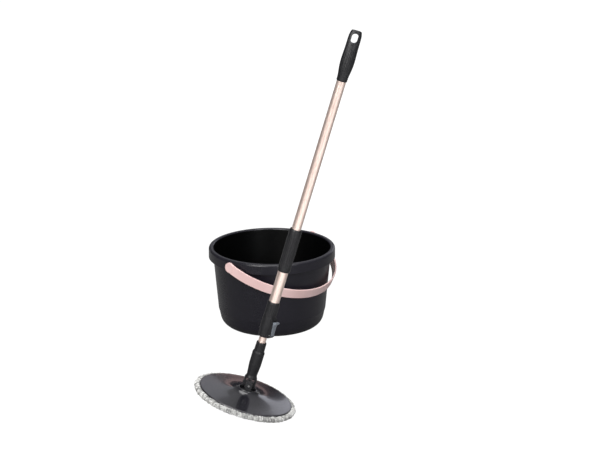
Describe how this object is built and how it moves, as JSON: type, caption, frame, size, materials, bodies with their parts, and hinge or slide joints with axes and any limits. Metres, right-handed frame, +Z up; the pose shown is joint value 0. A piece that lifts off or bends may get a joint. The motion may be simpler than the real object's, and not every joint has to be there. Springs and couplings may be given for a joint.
{
  "type": "spin mop",
  "caption": "Round disc floor mop on a telescopic push-to-spin pole, leaning before its round bucket with a swinging strap handle and a turning pin inside.",
  "frame": {"origin": "middle of the bucket's base, on the floor", "axes": "+Z up, the mop stands before the bucket on the -Y side and leans towards +X"},
  "size_m": [0.4625, 1.11, 1.0973],
  "materials": {
    "bucket_plastic": "semi-gloss moulded black",
    "strap_plastic": "satin pale rose",
    "grip_plastic": "satin moulded black",
    "plate_plastic": "polished black",
    "tube_finish": "satin rose gold",
    "lever_plastic": "blue-grey",
    "inner_plastic": "natural bearing plastic",
    "bright_steel": "zinc plated",
    "microfibre": "looped white pile",
    "woven_backing": "woven",
    "hook_tape": "hooked tape"
  },
  "bodies": {
    "bucket": {"tub": "bucket_plastic", "spin_post": "bucket_plastic", "post_screws": "bright_steel", "cap_screw": "bright_steel"},
    "spinner": {"spin_cap": "bucket_plastic", "cap_bush": "inner_plastic"},
    "bail": {"bail_handle": "strap_plastic"},
    "mop_handle": {"wide_tube": "tube_finish", "lock_housing": "grip_plastic", "shaft_bush": "inner_plastic", "twisted_rod": "bright_steel", "rod_anchor": "inner_plastic", "anchor_pin": "bright_steel", "lever_pin": "bright_steel", "lever_spring": "bright_steel", "clamp_collet": "inner_plastic"},
    "sleeve": {"lock_sleeve": "grip_plastic"},
    "upper_pole": {"upper_tube": "tube_finish", "top_grip": "grip_plastic", "tube_end_bush": "inner_plastic"},
    "lever": {"lock_lever": "lever_plastic"},
    "carriage": {"guide_ring": "inner_plastic"},
    "shaft": {"lower_shaft": "tube_finish", "drive_nut": "inner_plastic", "clutch_ring": "inner_plastic", "shaft_socket": "grip_plastic", "socket_pin": "bright_steel"},
    "knuckle": {"knuckle_block": "grip_plastic", "fork_pins": "bright_steel"},
    "mop_head": {"hub_yoke": "grip_plastic", "hub_pin": "bright_steel", "hub_screws": "bright_steel", "plate_cover": "plate_plastic", "drive_socket": "grip_plastic", "base_plate": "grip_plastic", "hook_ring": "hook_tape", "pad_backing": "woven_backing", "pad_pile": "microfibre"}
  },
  "joints": [
    {"name": "cap_spin", "type": "hinge", "parent": "bucket", "child": "spinner", "pos_m": [0, 0, 0.106], "axis": [0, 0, 1], "continuous": true},
    {"name": "bail_swing", "type": "hinge", "parent": "bucket", "child": "bail", "pos_m": [0, 0, 0.233], "axis": [-0.6088, -0.7934, 0], "range_deg": [0, 230]},
    {"name": "mop_lift", "type": "slide", "parent": "bucket", "child": "mop_handle", "axis": [0, 0, 1], "range_m": [0, 0.5]},
    {"name": "sleeve_twist", "type": "hinge", "parent": "mop_handle", "child": "sleeve", "pos_m": [0.0598, -0.765, 0.47249], "axis": [0.2807, 0, 0.9598], "range_deg": [0, 90]},
    {"name": "pole_extend", "type": "slide", "parent": "mop_handle", "child": "upper_pole", "axis": [0.2807, 0, 0.9598], "range_m": [0, 0.09]},
    {"name": "lever_open", "type": "hinge", "parent": "mop_handle", "child": "lever", "pos_m": [0.01096, -0.77978, 0.23808], "axis": [0.5909, 0.788, -0.1728], "range_deg": [0, 18], "stiffness_Nm_per_rad": 0.08},
    {"name": "pump_stroke", "type": "slide", "parent": "mop_handle", "child": "carriage", "axis": [-0.2807, 0, -0.9598], "range_m": [0, 0.1]},
    {"name": "shaft_spin", "type": "hinge", "parent": "carriage", "child": "shaft", "pos_m": [0.02612, -0.765, 0.35731], "axis": [-0.2807, 0, -0.9598], "range_deg": [0, 360.5]},
    {"name": "fork_tilt", "type": "hinge", "parent": "shaft", "child": "knuckle", "pos_m": [-0.05303, -0.765, 0.08665], "axis": [0.9598, 0, -0.2807], "range_deg": [-22, 22]},
    {"name": "head_tilt", "type": "hinge", "parent": "knuckle", "child": "mop_head", "pos_m": [-0.05303, -0.765, 0.08665], "axis": [0, 1, 0], "range_deg": [-50, 50]}
  ],
  "couplings": [
    {"joint": "shaft_spin", "follows": "pump_stroke", "rad_per_m": 62.832}
  ]
}
